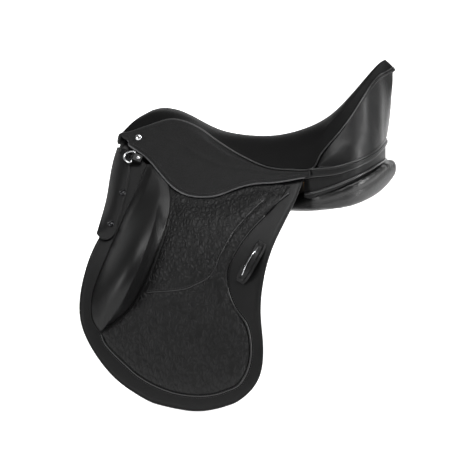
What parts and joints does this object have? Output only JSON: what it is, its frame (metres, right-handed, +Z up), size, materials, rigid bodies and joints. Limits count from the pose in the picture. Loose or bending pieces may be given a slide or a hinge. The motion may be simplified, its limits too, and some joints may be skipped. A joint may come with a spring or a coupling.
{
  "type": "english saddle",
  "caption": "Black English dressage saddle: deep leather seat on a sprung tree, long flaps with thigh blocks, lifting skirts over stirrup bars, girth straps and padded panels.",
  "frame": {"origin": "centre plane, mid-length, level with the lowest line of the two panels, where the saddle rests on the horse's back", "axes": "+X to the rear (cantle), +Y to the off (right) side, +Z up"},
  "size_m": [0.5371, 0.4932, 0.5895],
  "materials": {
    "smooth_leather": "smooth, semi-matt black calf leather",
    "grained_leather": "fine pebble-grained black leather, matt",
    "coarse_grained_leather": "coarse wrinkled black buffalo leather, matt",
    "bridle_leather": "firm black bridle leather, waxed",
    "panel_leather": "soft smooth black panel leather",
    "seat_foam": "cream latex foam",
    "webbing": "undyed woven polypropylene webbing",
    "laminated_beech": "varnished laminated beech",
    "tree_steel": "blued spring steel",
    "forged_steel": "forged stainless steel, tumbled",
    "bright_fittings": "polished nickel plate",
    "black_screws": "black coated steel, satin"
  },
  "bodies": {
    "seat_and_flaps": {"cantle_panel": "smooth_leather", "catch_pin_left": "forged_steel", "catch_pin_right": "forged_steel", "chape_rivet_left": "bright_fittings", "chape_rivet_right": "bright_fittings", "crown_nail_left": "bright_fittings", "crown_nail_right": "bright_fittings", "d_ring_chape_left": "bridle_leather", "d_ring_chape_right": "bridle_leather", "flap_insert_left": "coarse_grained_leather", "flap_insert_right": "coarse_grained_leather", "flap_left": "smooth_leather", "flap_right": "smooth_leather", "flap_screw_lower_left": "black_screws", "flap_screw_lower_right": "black_screws", "flap_screw_upper_left": "black_screws", "flap_screw_upper_right": "black_screws", "front_strap_left": "smooth_leather", "front_strap_right": "smooth_leather", "girth_web_front_left": "webbing", "girth_web_front_right": "webbing", "girth_web_rear_left": "webbing", "girth_web_rear_right": "webbing", "gullet_plate": "tree_steel", "leather_keeper_left": "smooth_leather", "leather_keeper_right": "smooth_leather", "panel_left": "panel_leather", "panel_right": "panel_leather", "rear_gusset_left": "grained_leather", "rear_gusset_right": "grained_leather", "saddle_tree": "laminated_beech", "seat_cover": "smooth_leather", "seat_foam": "seat_foam", "seat_webbing": "webbing", "skirt_top_left": "grained_leather", "skirt_top_right": "grained_leather", "spring_left": "tree_steel", "spring_right": "tree_steel", "stirrup_bar_left": "forged_steel", "stirrup_bar_right": "forged_steel", "thigh_block_left": "smooth_leather", "thigh_block_right": "smooth_leather", "under_flap_left": "panel_leather", "under_flap_right": "panel_leather"},
    "skirt_left": {"skirt_left": "grained_leather"},
    "d_ring_left": {"d_ring_left": "bright_fittings"},
    "safety_catch_left": {"safety_catch_left": "forged_steel"},
    "girth_strap_front_left": {"girth_strap_front_left": "bridle_leather"},
    "girth_strap_rear_left": {"girth_strap_rear_left": "bridle_leather"},
    "skirt_right": {"skirt_right": "grained_leather"},
    "d_ring_right": {"d_ring_right": "bright_fittings"},
    "safety_catch_right": {"safety_catch_right": "forged_steel"},
    "girth_strap_front_right": {"girth_strap_front_right": "bridle_leather"},
    "girth_strap_rear_right": {"girth_strap_rear_right": "bridle_leather"}
  },
  "joints": [
    {"name": "skirt_left_lift", "type": "hinge", "parent": "seat_and_flaps", "child": "skirt_left", "pos_m": [-0.19, -0.046, 0.121], "axis": [-0.9284, 0.3201, 0.1889], "range_deg": [0, 70]},
    {"name": "d_ring_left_swing", "type": "hinge", "parent": "seat_and_flaps", "child": "d_ring_left", "pos_m": [-0.18075, -0.06835, 0.09371], "axis": [0.336, 0.5055, 0.7947], "range_deg": [0, 120]},
    {"name": "safety_catch_left_open", "type": "hinge", "parent": "seat_and_flaps", "child": "safety_catch_left", "pos_m": [-0.02682, -0.09985, 0.0636], "axis": [0.336, 0.5055, 0.7947], "range_deg": [0, 75]},
    {"name": "girth_strap_front_left_swing", "type": "hinge", "parent": "seat_and_flaps", "child": "girth_strap_front_left", "pos_m": [-0.08, -0.10881, 0.04], "axis": [0.1166, 0.9752, -0.1881], "range_deg": [-6, 6]},
    {"name": "girth_strap_rear_left_swing", "type": "hinge", "parent": "seat_and_flaps", "child": "girth_strap_rear_left", "pos_m": [0, -0.12321, 0.04], "axis": [0.1901, 0.9715, -0.1416], "range_deg": [-6, 6]},
    {"name": "skirt_right_lift", "type": "hinge", "parent": "seat_and_flaps", "child": "skirt_right", "pos_m": [-0.19, 0.046, 0.121], "axis": [0.9284, 0.3201, -0.1889], "range_deg": [0, 70]},
    {"name": "d_ring_right_swing", "type": "hinge", "parent": "seat_and_flaps", "child": "d_ring_right", "pos_m": [-0.18075, 0.06835, 0.09371], "axis": [-0.336, 0.5055, -0.7947], "range_deg": [0, 120]},
    {"name": "safety_catch_right_open", "type": "hinge", "parent": "seat_and_flaps", "child": "safety_catch_right", "pos_m": [-0.02682, 0.09985, 0.0636], "axis": [-0.336, 0.5055, -0.7947], "range_deg": [0, 75]},
    {"name": "girth_strap_front_right_swing", "type": "hinge", "parent": "seat_and_flaps", "child": "girth_strap_front_right", "pos_m": [-0.08, 0.10881, 0.04], "axis": [-0.1166, 0.9752, 0.1881], "range_deg": [-6, 6]},
    {"name": "girth_strap_rear_right_swing", "type": "hinge", "parent": "seat_and_flaps", "child": "girth_strap_rear_right", "pos_m": [0, 0.12321, 0.04], "axis": [-0.1901, 0.9715, 0.1416], "range_deg": [-6, 6]}
  ]
}
